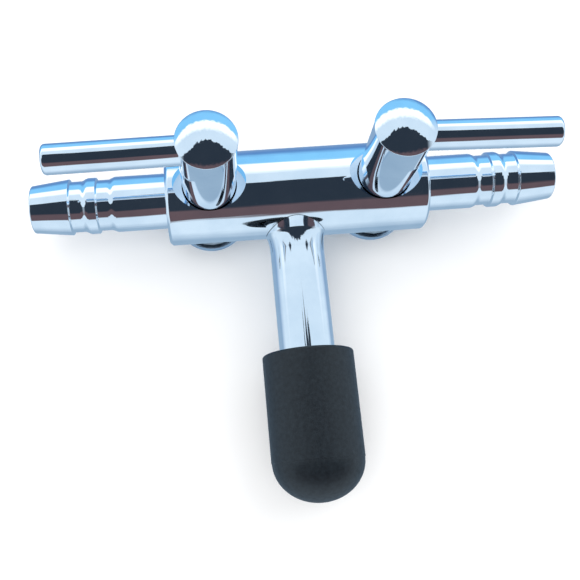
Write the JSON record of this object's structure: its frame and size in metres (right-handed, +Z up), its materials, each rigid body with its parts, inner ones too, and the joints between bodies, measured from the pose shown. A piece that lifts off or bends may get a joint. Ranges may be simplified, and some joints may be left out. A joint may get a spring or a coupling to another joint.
{
  "type": "three way valve",
  "caption": "Chromed air line manifold: hose barbs on the ends, a side inlet tube under a rubber cap, and a plug valve with a domed knob and rod lever before each outlet.",
  "frame": {"origin": "under the middle of the assembly's box, level with the undersides of the retaining screws", "axes": "+X along the body from the left outlet to the right outlet, -Y out along the inlet tube, +Z up the valve stems"},
  "size_m": [0.0464, 0.0308, 0.0187],
  "materials": {
    "chrome": "bright chrome plating",
    "cap_rubber": "matte moulded black rubber",
    "seal_rubber": "smooth black rubber",
    "steel": "plain spring steel"
  },
  "bodies": {
    "manifold": {"body": "chrome", "left_hose_barb": "chrome", "right_hose_barb": "chrome", "inlet_tube": "chrome", "inlet_braze_fillet": "chrome"},
    "left_valve": {"left_plug": "chrome", "left_lever": "chrome", "left_upper_seal": "seal_rubber", "left_lower_seal": "seal_rubber", "left_flat_washer": "steel", "left_wave_spring": "steel", "left_retaining_screw": "chrome"},
    "right_valve": {"right_plug": "chrome", "right_lever": "chrome", "right_upper_seal": "seal_rubber", "right_lower_seal": "seal_rubber", "right_flat_washer": "steel", "right_wave_spring": "steel", "right_retaining_screw": "chrome"},
    "cap": {"inlet_cap": "cap_rubber"}
  },
  "joints": [
    {"name": "left_valve_turn", "type": "hinge", "parent": "manifold", "child": "left_valve", "pos_m": [-0.0076, 0.01145, 0.0055], "axis": [0, 0, 1], "range_deg": [-90, 90]},
    {"name": "right_valve_turn", "type": "hinge", "parent": "manifold", "child": "right_valve", "pos_m": [0.0076, 0.01145, 0.0055], "axis": [0, 0, 1], "range_deg": [-90, 90]},
    {"name": "cap_pull_off", "type": "slide", "parent": "manifold", "child": "cap", "axis": [0, -1, 0], "range_m": [0, 0.012]}
  ]
}
